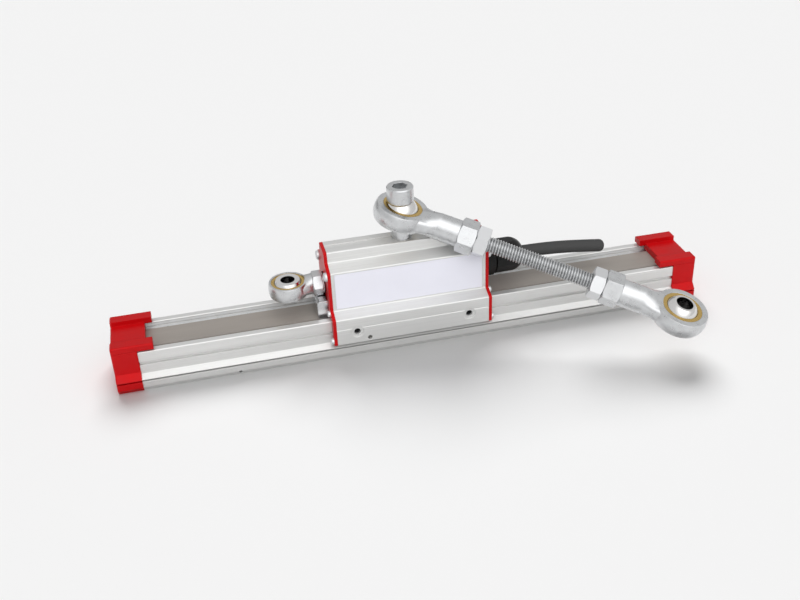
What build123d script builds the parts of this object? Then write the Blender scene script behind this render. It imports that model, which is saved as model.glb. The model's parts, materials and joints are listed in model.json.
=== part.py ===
"""Guided magnetic linear position sensor: rail, sensing carriage and ball-jointed push rod.

Millimetres, +X along the rail, -Y to the label side, +Z up, origin at the middle of the rail's underside.
"""

import os
from math import cos, radians, sin, sqrt

from build123d import *

os.makedirs("parts", exist_ok=True)

# Rail profile
overall_length = 220.0
rail_height = 15.1
rail_width = 21.9
foot_width = 26.2
foot_chamfer = 1.1
foot_chamfer_rise = 1.8
flare_bottom = 5.0
flare_top = 6.3
rail_edge_radius = 0.4
clamp_slot_z = 4.45
clamp_slot_height = 0.6
clamp_slot_depth = 1.6
guide_groove_z = 10.4
guide_groove_height = 1.4
guide_groove_depth = 1.1
channel_width = 16.5
channel_depth = 2.0
channel_chamfer = 0.2
hollow_width = 12.4
hollow_bottom = 3.0
hollow_top = 10.9
hollow_radius = 1.2
port_radius = 1.25
port_y = 8.9
port_z = 5.8
foot_hole_x = -66.7
foot_hole_z = 1.4
foot_hole_radius = 0.65
foot_hole_depth = 3.0

# Scale
strip_side_gap = 0.55
strip_thickness = 0.3
tape_width = 11.4
tape_thickness = 0.4

# Rail end caps
cap_wall = 9.0
cap_step = 0.3
cap_flare_rise = 0.9
cap_edge_radius = 0.4
cap_top = 18.2
cap_bead_z = 15.8
cap_bead_depth = 0.2
finger_reach = 5.8
finger_width = 4.5
finger_edge_radius = 0.6
tongue_reach = 3.2
tongue_top = 16.4
tongue_side_gap = 0.2
peg_reach = 6.0
peg_gap = 0.15
peg_wall = 1.6
cap_screw_radius = 1.1
cap_screw_length = 16.0
cap_screw_head_radius = 2.1
cap_screw_head_height = 1.3

# Carriage housing, an extrusion that straddles the rail
carriage_x = -2.5
housing_length = 57.0
skirt_wall = 2.55
skirt_bottom = 6.7
skirt_top = 17.0
skirt_mark_z = 12.9
skirt_mark_depth = 0.15
face_width = 20.0
face_bottom = 18.6
face_top = 33.9
crown_width = 9.2
crown_foot_width = 10.2
crown_foot_z = 35.8
crown_z = 39.7
crown_groove_width = 2.6
crown_groove_depth = 0.35
corner_radius = 0.35
outline_radius = 0.6
tunnel_gap = 0.9
tunnel_roof_gap = 0.8
shoe_seat_depth = 0.4
shoe_seat_bottom = 8.6
shoe_seat_top = 14.2
web_thickness = 2.0
cavity_width = 15.8
cavity_top = 32.3
cavity_radius = 3.5
label_length = 54.6
label_height = 14.2
label_recess = 0.3
label_thickness = 0.22
window_length = 30.0
window_width = 12.4

# End plates, their seals and screws: each screw is (distance in from the side, z, thread radius, head radius)
plate_thickness = 1.2
seal_thickness = 0.6
seal_width = 1.1
seal_margin = 0.5
plate_gap = 0.45
face_screw = (1.5, 32.3, 0.8, 1.7)
waist_screw = (0.5, 17.5, 0.65, 1.2)
skirt_screw = (1.25, 8.1, 0.65, 1.2)
plate_screw_length = 7.0
plate_screw_head = 1.1
thread_gap = 0.05

# Glide shoes and their adjusting screws
shoe_length = 11.0
shoe_offset = 21.0
shoe_run_gap = 0.06
shoe_arm_reach = 3.0
shoe_seat_gap = 0.05
adjuster_z = 11.3
adjuster_radius = 1.2
adjuster_depth = 0.9
adjuster_socket = 1.1
spot_face_radius = 2.3
spot_face_depth = 0.3
pin_hole_offset = -16.5
pin_hole_z = 8.1
pin_hole_radius = 0.85

# Read head and electronics
head_length = 26.0
head_width = 10.8
head_air_gap = 0.8
head_wall = 1.4
chip_length = 5.0
chip_width = 4.0
chip_height = 1.0
chip_spacing = 9.0
board_length = 47.0
board_width = 14.6
board_thickness = 1.6
board_clearance = 0.2
board_chip_places = [(-12.0, 0.0, 7.0, 7.0), (1.0, -2.5, 5.0, 4.0), (1.0, 3.0, 3.0, 2.5)]
terminal_length = 5.0
terminal_width = 10.0
terminal_height = 6.6

# Axis of the cable gland and of the small rod end
side_axis_z = 25.6
gland_thread_radius = 4.0
gland_hex = 12.0
gland_hex_length = 4.5
gland_nut_radius = 6.4
gland_nut_hex = 12.2
gland_nut_length = 11.0
gland_nut_straight = 6.4
gland_mouth_radius = 3.3
gland_gap = 0.3
gland_tail = 6.0
gland_lock_nut_hex = 11.0
gland_lock_nut_height = 2.4
cable_radius = 2.4
cable_clearance = 0.1
cable_tail = 6.0
core_radius = 0.55
cable_route = [(7.0, 0.0, 0.0), (19.5, -0.3, -0.6), (33.0, -1.0, -2.1)]
bend_share = 0.45
cable_end_radius = 1.9

# Hardware of the push rod and its ball joints
screw_radius = 3.0
screw_head_radius = 4.85
screw_head_height = 5.6
screw_socket = 5.0
screw_socket_depth = 3.0
screw_engagement = 6.4
spacer_radius = 3.7
spacer_height = 4.3
ball_radius = 6.35
ball_width = 10.0
ball_bore_radius = 3.03
race_radius = 7.2
race_width = 6.0
ball_gap = 0.1
ring_radius = 10.0
ring_crown = 0.7
neck_radius = 4.9
neck_start = 14.0
neck_root_share = 0.94
neck_root = (0.55, 1.45)
stud_neck_root = (0.35, 1.75)
collar_hex = 11.0
collar_start = 22.0
rod_end_length = 28.3
hex_chamfer_angle = 30.0
jam_nut_hex = 10.0
jam_nut_height = 4.7
jam_nut_turn = 30.0
push_rod_visible = 38.5
push_rod_grip = 14.0
swing_angle = -26.9
droop_angle = 17.7
near_twist = 0.0
far_twist = 8.0

# Small rod end on the carriage's left end
stud_radius = 2.5
stud_ball_radius = 5.4
stud_ball_width = 6.4
stud_ball_bore = 2.53
stud_race_radius = 6.1
stud_race_width = 4.7
stud_ring_radius = 7.2
stud_ring_width = 5.0
stud_ring_crown = 0.4
stud_neck_radius = 3.9
stud_reach = 8.7
stud_nut_hex = 8.0
stud_nut_height = 3.6
pad_thickness = 0.4
pad_radius = 4.0
carrier_flange = 0.4
carrier_flange_radius = 4.0
carrier_boss_radius = 3.6
carrier_boss_length = 6.0
carrier_nut_hex = 9.0
carrier_nut_height = 3.0

# Wiper that clears the scale in front of the carriage's left end
wiper_length = 4.0
wiper_width = 13.2
wiper_clearance = 0.5
wiper_top = 21.3
wiper_edge = 0.8

# Worked out from the values above
rail_length = overall_length - 2 * cap_wall
channel_floor = rail_height - channel_depth
scale_top = channel_floor + strip_thickness + tape_thickness
tunnel_width = rail_width + 2 * tunnel_gap
tunnel_roof = rail_height + tunnel_roof_gap
skirt_width = tunnel_width + 2 * skirt_wall
cavity_floor = tunnel_roof + web_thickness
left_face = carriage_x - housing_length / 2 - plate_thickness
right_face = carriage_x + housing_length / 2 + plate_thickness
sides = (-1, 1)
plate_screws = [
    (face_width / 2 - face_screw[0], *face_screw[1:]),
    (face_width / 2 - waist_screw[0], *waist_screw[1:]),
    (skirt_width / 2 - skirt_screw[0], *skirt_screw[1:]),
]


def across(x, side=1):
    """Plane across the rail at x, its normal towards side, its own y upwards."""
    return Plane(origin=(x, 0, 0), x_dir=(0, side, 0), z_dir=(side, 0, 0))


def finish(piece, name):
    """Label a finished piece and write it."""
    piece.part.label = name
    export_step(piece.part, f"parts/{name}.step")


def cross_plane(frame, distance):
    """Plane across frame's x axis at a distance along it."""
    return Plane(
        origin=frame.from_local_coords((distance, 0, 0)),
        x_dir=frame.y_dir,
        z_dir=frame.x_dir,
    )


def side_plane(frame):
    """Plane through frame's x and z axes."""
    return Plane(origin=frame.origin, x_dir=frame.x_dir, z_dir=-frame.y_dir)


def hex_prism(plane, across_flats, height, bore_radius, turn=0.0):
    """Hexagon with both ends chamfered, bored through, standing on a plane."""
    corner = across_flats / sqrt(3)
    fall = (corner - across_flats / 2) * sin(radians(hex_chamfer_angle)) / cos(radians(hex_chamfer_angle))
    with BuildPart() as prism:
        with BuildSketch(plane):
            RegularPolygon(across_flats / 2, 6, major_radius=False, rotation=turn)
        extrude(amount=height)
        section = Plane(origin=plane.origin, x_dir=plane.x_dir, z_dir=-plane.y_dir)
        with BuildSketch(section):
            with BuildLine():
                Polyline(
                    (0, 0),
                    (across_flats / 2, 0),
                    (corner, fall),
                    (corner, height - fall),
                    (across_flats / 2, height),
                    (0, height),
                    close=True,
                )
            make_face()
        revolve(axis=Axis(plane.origin, plane.z_dir), mode=Mode.INTERSECT)
        with BuildSketch(plane):
            Circle(bore_radius)
        extrude(amount=height, mode=Mode.SUBTRACT)
    return prism


# Rail
def foot_outline(step=0.0, rise=0.0):
    """Half outline of the rail up to the top of the flare, widened by a step and its flare raised."""
    return [
        (0, 0),
        (foot_width / 2 + step - foot_chamfer, 0),
        (foot_width / 2 + step, foot_chamfer_rise),
        (foot_width / 2 + step, flare_bottom),
        (rail_width / 2 + step, flare_top + rise),
    ]


def corners_at(sketch, places):
    """Corners of a sketch that lie at the given places on either side of its middle."""
    return [
        corner
        for corner in sketch.vertices()
        if any(abs(abs(corner.X) - y) + abs(corner.Y - z) < 0.001 for y, z in places)
    ]


with BuildPart() as rail_profile:
    with BuildSketch(Plane.YZ) as rail_section:
        with BuildLine():
            Polyline(
                *foot_outline(),
                (rail_width / 2, rail_height),
                (channel_width / 2 + channel_chamfer, rail_height),
                (channel_width / 2, rail_height - channel_chamfer),
                (channel_width / 2, channel_floor),
                (0, channel_floor),
            )
            mirror(about=Plane.YZ)
        make_face()
        fillet(corners_at(rail_section, [(rail_width / 2, rail_height)]), rail_edge_radius)
        with Locations(*[(side * rail_width / 2, guide_groove_z) for side in sides]):
            Rectangle(2 * guide_groove_depth, guide_groove_height, mode=Mode.SUBTRACT)
        with Locations(*[(side * foot_width / 2, clamp_slot_z) for side in sides]):
            Rectangle(2 * clamp_slot_depth, clamp_slot_height, mode=Mode.SUBTRACT)
        with Locations((0, (hollow_bottom + hollow_top) / 2)):
            RectangleRounded(hollow_width, hollow_top - hollow_bottom, hollow_radius, mode=Mode.SUBTRACT)
        with Locations(*[(side * port_y, port_z) for side in sides]):
            Circle(port_radius, mode=Mode.SUBTRACT)
    extrude(amount=rail_length / 2, both=True)
    with Locations(Plane(origin=(foot_hole_x, -foot_width / 2, foot_hole_z), x_dir=(1, 0, 0), z_dir=(0, -1, 0))):
        Hole(foot_hole_radius, depth=foot_hole_depth)
finish(rail_profile, "rail_profile")

# Scale: a steel strip lies on the channel floor and carries the coded tape
with BuildPart() as backing_strip:
    with BuildSketch(Plane.XY.offset(channel_floor)):
        Rectangle(rail_length, channel_width - 2 * strip_side_gap)
    extrude(amount=strip_thickness)
finish(backing_strip, "backing_strip")

with BuildPart() as magnetic_tape:
    with BuildSketch(Plane.XY.offset(channel_floor + strip_thickness)):
        Rectangle(rail_length, tape_width)
    extrude(amount=tape_thickness)
finish(magnetic_tape, "magnetic_tape")


# Rail end caps
def end_cap(side):
    """Moulded cap: end block, two fingers over the rail's top, a tongue in the channel and a peg."""
    cap_half = rail_width / 2 + cap_step
    finger_inner = cap_half - finger_width
    end = across(side * rail_length / 2, side)
    with BuildPart() as cap:
        with BuildSketch(end) as section:
            with BuildLine():
                Polyline(
                    *foot_outline(cap_step, cap_flare_rise),
                    (cap_half, cap_top),
                    (finger_inner, cap_top),
                    (finger_inner, tongue_top),
                    (0, tongue_top),
                )
                mirror(about=Plane.YZ)
            make_face()
            fillet(corners_at(section, [(cap_half, cap_top)]), finger_edge_radius)
        extrude(amount=cap_wall)
        outer_face = cap.faces().sort_by(Axis.X)[-1 if side > 0 else 0]
        chamfer(outer_face.outer_wire().edges(), cap_edge_radius)
        with BuildSketch(end):
            with Locations(*[(s * (foot_width / 2 + cap_step), clamp_slot_z) for s in sides]):
                Rectangle(2 * clamp_slot_depth, clamp_slot_height)
            with Locations(*[(s * cap_half, cap_bead_z) for s in sides]):
                Rectangle(cap_bead_depth, cap_bead_depth, rotation=45)
        extrude(amount=cap_wall, mode=Mode.SUBTRACT)
        with BuildSketch(end) as fingers:
            with Locations(*[(s * (cap_half - finger_width / 2), (cap_bead_z + cap_top) / 2) for s in sides]):
                Rectangle(finger_width, cap_top - cap_bead_z)
            fillet(corners_at(fingers, [(cap_half, cap_top)]), finger_edge_radius)
        extrude(amount=-finger_reach)
        with BuildSketch(end):
            with Locations((0, (scale_top + tongue_top) / 2)):
                Rectangle(channel_width - 2 * tongue_side_gap, tongue_top - scale_top)
        extrude(amount=-tongue_reach)
        peg_width = hollow_width - 2 * peg_gap
        peg_height = hollow_top - hollow_bottom - 2 * peg_gap
        with BuildSketch(end):
            with Locations((0, (hollow_bottom + hollow_top) / 2)):
                RectangleRounded(peg_width, peg_height, hollow_radius)
                RectangleRounded(
                    peg_width - 2 * peg_wall,
                    peg_height - 2 * peg_wall,
                    hollow_radius / 2,
                    mode=Mode.SUBTRACT,
                )
        extrude(amount=-peg_reach)
        with BuildSketch(end.offset(cap_wall)):
            with Locations(*[(s * port_y, port_z) for s in sides]):
                Circle(cap_screw_radius + thread_gap)
        extrude(amount=-cap_wall, mode=Mode.SUBTRACT)
        with BuildSketch(end.offset(cap_wall)):
            with Locations(*[(s * port_y, port_z) for s in sides]):
                Circle(cap_screw_head_radius + thread_gap)
        extrude(amount=-cap_screw_head_height, mode=Mode.SUBTRACT)
    return cap


def cap_screws(side):
    """Pair of cap screws sunk in the cap's end face and threaded into the rail's ports."""
    end = across(side * (rail_length / 2 + cap_wall), side)
    with BuildPart() as screws:
        with BuildSketch(end.offset(-cap_screw_head_height)):
            with Locations(*[(s * port_y, port_z) for s in sides]):
                Circle(cap_screw_head_radius)
                RegularPolygon(cap_screw_head_radius / 2, 6, mode=Mode.SUBTRACT)
        extrude(amount=cap_screw_head_height)
        with BuildSketch(end.offset(-cap_screw_head_height)):
            with Locations(*[(s * port_y, port_z) for s in sides]):
                Circle(cap_screw_radius)
        extrude(amount=-cap_screw_length)
    return screws


for side, word in ((-1, "left"), (1, "right")):
    finish(end_cap(side), f"end_cap_{word}")
    finish(cap_screws(side), f"cap_screws_{word}")


# Carriage housing
def hat_outline():
    """Half outline of the carriage, from the skirt's foot up over the shoulder to the crown."""
    return [
        (skirt_width / 2, skirt_bottom),
        (skirt_width / 2, skirt_top),
        (face_width / 2, face_bottom),
        (face_width / 2, face_top),
        (crown_foot_width / 2, crown_foot_z),
        (crown_width / 2, crown_z),
        (0, crown_z),
    ]


with BuildPart() as carriage_housing:
    with BuildSketch(across(carriage_x)) as housing_section:
        with BuildLine():
            Polyline(
                *hat_outline(),
                (0, tunnel_roof),
                (tunnel_width / 2, tunnel_roof),
                (tunnel_width / 2, skirt_bottom),
                (skirt_width / 2, skirt_bottom),
            )
        make_face()
        mirror(about=Plane.YZ)
        fillet(corners_at(housing_section, hat_outline()[1:-1]), outline_radius)
        with Locations(*[(side * tunnel_width / 2, (shoe_seat_bottom + shoe_seat_top) / 2) for side in sides]):
            Rectangle(2 * shoe_seat_depth, shoe_seat_top - shoe_seat_bottom, mode=Mode.SUBTRACT)
        with Locations((0, crown_z)):
            Rectangle(crown_groove_width, 2 * crown_groove_depth, mode=Mode.SUBTRACT)
        with Locations(*[(side * skirt_width / 2, skirt_mark_z) for side in sides]):
            Rectangle(2 * skirt_mark_depth, 2 * skirt_mark_depth, rotation=45, mode=Mode.SUBTRACT)
        with Locations((0, (cavity_floor + cavity_top) / 2)):
            RectangleRounded(cavity_width, cavity_top - cavity_floor, cavity_radius, mode=Mode.SUBTRACT)
        for y, z, thread, _ in plate_screws:
            with Locations(*[(side * y, z) for side in sides]):
                Circle(thread, mode=Mode.SUBTRACT)
    extrude(amount=housing_length / 2, both=True)
    # window for the read head, thread for the ball screw
    with BuildSketch(Plane.XY.offset(tunnel_roof)):
        with Locations((carriage_x, 0)):
            Rectangle(window_length, window_width)
    extrude(amount=web_thickness + cavity_radius, mode=Mode.SUBTRACT)
    with Locations((carriage_x, 0, crown_z)):
        Hole(screw_radius, depth=crown_z - cavity_top + cavity_radius)
    # recess for the label on the front
    with BuildSketch(Plane.XZ.offset(face_width / 2)):
        with Locations((carriage_x, (face_bottom + face_top) / 2)):
            Rectangle(label_length, label_height)
    extrude(amount=-label_recess, mode=Mode.SUBTRACT)
    # spot-faced holes of the adjusting screws, and the small pin hole beside one of them
    for side in sides:
        skirt_face = Plane(origin=(carriage_x, side * skirt_width / 2, 0), x_dir=(-side, 0, 0), z_dir=(0, side, 0))
        with BuildSketch(skirt_face):
            with Locations(*[(s * shoe_offset, adjuster_z) for s in sides]):
                Circle(spot_face_radius)
        extrude(amount=-spot_face_depth, mode=Mode.SUBTRACT)
        with BuildSketch(skirt_face):
            with Locations(*[(s * shoe_offset, adjuster_z) for s in sides]):
                Circle(adjuster_radius)
        extrude(amount=-(skirt_width - tunnel_width) / 2, mode=Mode.SUBTRACT)
    with BuildSketch(Plane.XZ.offset(skirt_width / 2)):
        with Locations((carriage_x + pin_hole_offset, pin_hole_z)):
            Circle(pin_hole_radius)
    extrude(amount=-(skirt_width - tunnel_width) / 2, mode=Mode.SUBTRACT)
finish(carriage_housing, "carriage_housing")

with BuildPart() as label_plate:
    with BuildSketch(Plane.XZ.offset(face_width / 2 - label_recess)):
        with Locations((carriage_x, (face_bottom + face_top) / 2)):
            Rectangle(label_length - 2 * thread_gap, label_height - 2 * thread_gap)
    extrude(amount=label_thickness)
finish(label_plate, "label_plate")


# End plates
def end_plate(side, bore_radius):
    """Moulded plate over one end of the carriage, cut out round the rail, with a bore on the side axis."""
    seat = across(carriage_x + side * housing_length / 2, side)
    opening = rail_width / 2 + plate_gap
    with BuildPart() as plate:
        with BuildSketch(seat) as plate_section:
            with BuildLine():
                Polyline(
                    *hat_outline(),
                    (0, rail_height + plate_gap),
                    (opening, rail_height + plate_gap),
                    (opening, flare_top + plate_gap),
                    (opening + plate_gap, skirt_bottom),
                    (skirt_width / 2, skirt_bottom),
                )
            make_face()
            mirror(about=Plane.YZ)
            fillet(corners_at(plate_section, hat_outline()[1:-1]), outline_radius)
            for y, z, thread, _ in plate_screws:
                with Locations(*[(s * y, z) for s in sides]):
                    Circle(thread + thread_gap, mode=Mode.SUBTRACT)
            with Locations((0, side_axis_z)):
                Circle(bore_radius, mode=Mode.SUBTRACT)
        extrude(amount=plate_thickness)
        with BuildSketch(seat):
            with Locations((0, (cavity_floor + cavity_top) / 2)):
                RectangleRounded(
                    cavity_width + 2 * seal_margin,
                    cavity_top - cavity_floor + 2 * seal_margin,
                    cavity_radius + seal_margin,
                )
                RectangleRounded(
                    cavity_width + 2 * (seal_margin - seal_width),
                    cavity_top - cavity_floor + 2 * (seal_margin - seal_width),
                    cavity_radius + seal_margin - seal_width,
                    mode=Mode.SUBTRACT,
                )
        extrude(amount=seal_thickness, mode=Mode.SUBTRACT)
    return plate


def end_seal(side):
    """Rubber ring in the plate's groove round the mouth of the electronics cavity."""
    seat = across(carriage_x + side * housing_length / 2, side)
    with BuildPart() as seal:
        with BuildSketch(seat):
            with Locations((0, (cavity_floor + cavity_top) / 2)):
                RectangleRounded(
                    cavity_width + 2 * (seal_margin - thread_gap),
                    cavity_top - cavity_floor + 2 * (seal_margin - thread_gap),
                    cavity_radius + seal_margin - thread_gap,
                )
                RectangleRounded(
                    cavity_width + 2 * (seal_margin - seal_width + thread_gap),
                    cavity_top - cavity_floor + 2 * (seal_margin - seal_width + thread_gap),
                    cavity_radius + seal_margin - seal_width + thread_gap,
                    mode=Mode.SUBTRACT,
                )
        extrude(amount=seal_thickness)
    return seal


def end_plate_screws(side):
    """Pan-head screws of one end plate."""
    outside = across(carriage_x + side * (housing_length / 2 + plate_thickness), side)
    with BuildPart() as screws:
        for y, z, thread, head in plate_screws:
            spots = [(s * y, z) for s in sides]
            with BuildSketch(outside):
                with Locations(*spots):
                    Circle(head)
            extrude(amount=plate_screw_head)
            with BuildSketch(outside.offset(plate_screw_head)):
                with Locations(*spots):
                    RegularPolygon(thread * 0.8, 6)
            extrude(amount=-plate_screw_head / 2, mode=Mode.SUBTRACT)
            with BuildSketch(outside):
                with Locations(*spots):
                    Circle(thread - thread_gap)
            extrude(amount=-plate_screw_length)
    return screws


for side, word, bore in ((-1, "left", carrier_boss_radius), (1, "right", gland_thread_radius)):
    finish(end_plate(side, bore + thread_gap), f"end_plate_{word}")
    finish(end_seal(side), f"end_seal_{word}")
    finish(end_plate_screws(side), f"plate_screws_{word}")


# Glide shoes: one section, its rib in the rail's groove and its arm on the rail's top
def glide_shoe(side, end):
    """Low-friction shoe on one side of the rail, towards one end of the carriage."""
    run = rail_width / 2 + shoe_run_gap
    back = tunnel_width / 2 + shoe_seat_depth - shoe_seat_gap
    shoulder = tunnel_width / 2 - shoe_seat_gap
    rib_depth = rail_width / 2 - guide_groove_depth + shoe_run_gap
    rib_half = guide_groove_height / 2 - shoe_run_gap
    arm_under = rail_height + shoe_run_gap
    with BuildPart() as shoe:
        with BuildSketch(across(carriage_x + end * shoe_offset, side)):
            with BuildLine():
                Polyline(
                    (back, shoe_seat_bottom + shoe_seat_gap),
                    (run, shoe_seat_bottom + shoe_seat_gap),
                    (run, guide_groove_z - rib_half),
                    (rib_depth, guide_groove_z - rib_half),
                    (rib_depth, guide_groove_z + rib_half),
                    (run, guide_groove_z + rib_half),
                    (run, arm_under),
                    (run - shoe_arm_reach, arm_under),
                    (run - shoe_arm_reach, tunnel_roof - shoe_seat_gap),
                    (shoulder, tunnel_roof - shoe_seat_gap),
                    (shoulder, shoe_seat_top - shoe_seat_gap),
                    (back, shoe_seat_top - shoe_seat_gap),
                    close=True,
                )
            make_face()
        extrude(amount=shoe_length / 2, both=True)
    return shoe


def adjusting_screws(side):
    """Pair of set screws through one skirt, bearing on the backs of the shoes."""
    back = tunnel_width / 2 + shoe_seat_depth - shoe_seat_gap
    length = skirt_width / 2 - adjuster_depth - spot_face_depth - back
    seat = Plane(origin=(carriage_x, side * back, 0), x_dir=(-side, 0, 0), z_dir=(0, side, 0))
    with BuildPart() as screws:
        with BuildSketch(seat):
            with Locations(*[(s * shoe_offset, adjuster_z) for s in sides]):
                Circle(adjuster_radius - thread_gap)
        extrude(amount=length)
        with BuildSketch(seat.offset(length)):
            with Locations(*[(s * shoe_offset, adjuster_z) for s in sides]):
                RegularPolygon(adjuster_socket / 2, 6, major_radius=False)
        extrude(amount=-length / 2, mode=Mode.SUBTRACT)
    return screws


for side, word in ((-1, "front"), (1, "rear")):
    for end, end_word in ((-1, "left"), (1, "right")):
        finish(glide_shoe(side, end), f"glide_shoe_{word}_{end_word}")
    finish(adjusting_screws(side), f"adjusting_screws_{word}")

# Read head: a cup that reaches through the window, with the sensing chips on its floor
head_bottom = scale_top + head_air_gap
board_bottom = cavity_floor + cavity_radius - 0.4
with BuildPart() as read_head:
    with BuildSketch(Plane.XY.offset(head_bottom)):
        with Locations((carriage_x, 0)):
            Rectangle(head_length, head_width)
    extrude(amount=board_bottom - head_bottom)
    chamfer(read_head.edges().filter_by(Axis.Z), head_wall / 2)
    with BuildSketch(Plane.XY.offset(board_bottom)):
        with Locations((carriage_x, 0)):
            Rectangle(head_length - 2 * head_wall, head_width - 2 * head_wall)
    extrude(amount=-(board_bottom - head_bottom - head_wall / 2), mode=Mode.SUBTRACT)
finish(read_head, "read_head")

with BuildPart() as sensing_chips:
    with BuildSketch(Plane.XY.offset(head_bottom + head_wall / 2)):
        with Locations((carriage_x, 0)):
            with GridLocations(chip_spacing, 1, 2, 1):
                Rectangle(chip_length, chip_width)
    extrude(amount=chip_height)
finish(sensing_chips, "sensing_chips")

with BuildPart() as circuit_board:
    with BuildSketch(Plane.XY.offset(board_bottom)):
        with Locations((carriage_x, 0)):
            RectangleRounded(board_length, board_width - 2 * board_clearance, 1)
    extrude(amount=board_thickness)
finish(circuit_board, "circuit_board")

board_top = board_bottom + board_thickness
with BuildPart() as board_chips:
    with BuildSketch(Plane.XY.offset(board_top)):
        for x, y, length, width in board_chip_places:
            with Locations((carriage_x + x, y)):
                Rectangle(length, width)
    extrude(amount=chip_height)
finish(board_chips, "board_chips")

terminal_x = carriage_x + board_length / 2 - terminal_length
with BuildPart() as terminal_block:
    with BuildSketch(Plane.XY.offset(board_top)):
        with Locations((terminal_x, 0)):
            Rectangle(terminal_length, terminal_width)
    extrude(amount=terminal_height)
finish(terminal_block, "terminal_block")


# Cable gland on the right end, round the side axis
def gland_plane(x):
    """Plane across the side axis at x."""
    return Plane(origin=(x, 0, side_axis_z), x_dir=(0, 1, 0), z_dir=(1, 0, 0))


gland_bore = cable_radius + cable_clearance
gland_nut_x = right_face + gland_hex_length + gland_gap
gland_end_x = gland_nut_x + gland_nut_length
gland_body = hex_prism(gland_plane(right_face), gland_hex, gland_hex_length, gland_bore)
with BuildPart() as gland_thread:
    with BuildSketch(gland_plane(right_face)):
        Circle(gland_thread_radius)
        Circle(gland_bore, mode=Mode.SUBTRACT)
    extrude(amount=-gland_tail)
    with BuildSketch(gland_plane(right_face + gland_hex_length)):
        Circle(gland_thread_radius)
        Circle(gland_bore, mode=Mode.SUBTRACT)
    extrude(amount=gland_nut_straight / 2)
    add(gland_body.part)
finish(gland_thread, "gland_body")

with BuildPart() as gland_nut:
    with BuildSketch(Plane(origin=(gland_nut_x, 0, side_axis_z), x_dir=(1, 0, 0), z_dir=(0, -1, 0))):
        with BuildLine():
            Line((0, gland_thread_radius + cable_clearance), (0, gland_nut_radius))
            Line((0, gland_nut_radius), (gland_nut_straight, gland_nut_radius))
            RadiusArc(
                (gland_nut_straight, gland_nut_radius),
                (gland_nut_length, gland_mouth_radius),
                gland_nut_radius - 0.8,
            )
            Polyline(
                (gland_nut_length, gland_mouth_radius),
                (gland_nut_length, gland_bore),
                (gland_nut_straight + 1, gland_bore),
                (gland_nut_straight, gland_thread_radius + cable_clearance),
                (0, gland_thread_radius + cable_clearance),
            )
        make_face()
    revolve(axis=Axis((0, 0, side_axis_z), (1, 0, 0)))
    with BuildSketch(gland_plane(gland_nut_x)):
        RegularPolygon(gland_nut_hex / 2, 6, major_radius=False)
    extrude(amount=gland_nut_length, mode=Mode.INTERSECT)
finish(gland_nut, "gland_nut")

with BuildPart() as gland_seal:
    with BuildSketch(gland_plane(gland_nut_x - gland_gap + gland_nut_straight / 2)):
        Circle(gland_thread_radius)
        Circle(gland_bore, mode=Mode.SUBTRACT)
    extrude(amount=gland_nut_straight / 2 - gland_gap)
finish(gland_seal, "gland_seal")

gland_lock_nut = hex_prism(
    gland_plane(right_face - plate_thickness - gland_lock_nut_height),
    gland_lock_nut_hex,
    gland_lock_nut_height,
    gland_thread_radius + thread_gap,
)
finish(gland_lock_nut, "gland_lock_nut")

# Cable: a straight tail through the gland, then the free stub that ends bare
cable_tail_x = right_face - cable_tail
with BuildPart() as cable_tail_piece:
    with BuildSketch(gland_plane(cable_tail_x)):
        Circle(cable_radius)
    extrude(amount=gland_end_x - cable_tail_x)
finish(cable_tail_piece, "cable_tail")

with BuildPart() as cable_cores:
    core_spots = [(1.1 * sin(radians(angle)), 1.1 * cos(radians(angle))) for angle in (45, 135, 225, 315)]
    with BuildSketch(gland_plane(terminal_x + terminal_length / 2)):
        with Locations(*core_spots):
            Circle(core_radius)
    extrude(amount=cable_tail_x - terminal_x - terminal_length / 2)
finish(cable_cores, "cable_cores")

cable_exit = Vector(gland_end_x, 0, side_axis_z)
route = [cable_exit] + [cable_exit + Vector(*point) for point in cable_route]
bend_radii = []
for before, corner, after in zip(route, route[1:], route[2:]):
    turn = (corner - before).get_angle(after - corner)
    shorter = min((corner - before).length, (after - corner).length)
    bend_radii.append(bend_share * shorter / (sin(radians(turn / 2)) / cos(radians(turn / 2))))
print("cable bend radii", [round(radius, 1) for radius in bend_radii])
with BuildPart() as cable:
    with BuildLine() as cable_path:
        FilletPolyline(*route, radius=bend_radii)
    with BuildSketch(cable_path.line ^ 0):
        Circle(cable_radius)
    sweep()
    fillet(cable.edges().filter_by(GeomType.CIRCLE).sort_by(Axis.X)[-1:], cable_end_radius)
print("cable length", round(cable_path.wires()[0].length, 2), "volume", round(cable.part.volume, 2))
finish(cable, "cable")


# Ball joints
def centre_ball(frame, radius, width, bore_radius):
    """Ball with two flats, bored along the frame's z axis."""
    side = side_plane(frame)
    with BuildPart() as ball:
        flat = sqrt(radius**2 - (width / 2) ** 2)
        with BuildSketch(side):
            with BuildLine():
                Polyline((flat, -width / 2), (bore_radius, -width / 2), (bore_radius, width / 2), (flat, width / 2))
                ThreePointArc((flat, width / 2), (radius, 0), (flat, -width / 2))
            make_face()
        revolve(axis=Axis(frame.origin, frame.z_dir))
    return ball


def race(frame, radius, outer_radius, width):
    """Bearing insert with a spherical seat for a ball of the given radius."""
    seat = radius + ball_gap
    mouth = sqrt(seat**2 - (width / 2) ** 2)
    with BuildPart() as ring:
        with BuildSketch(side_plane(frame)):
            with BuildLine():
                Polyline((mouth, width / 2), (outer_radius, width / 2), (outer_radius, -width / 2), (mouth, -width / 2))
                ThreePointArc((mouth, -width / 2), (seat, 0), (mouth, width / 2))
            make_face()
        revolve(axis=Axis(frame.origin, frame.z_dir))
    return ring


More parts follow.
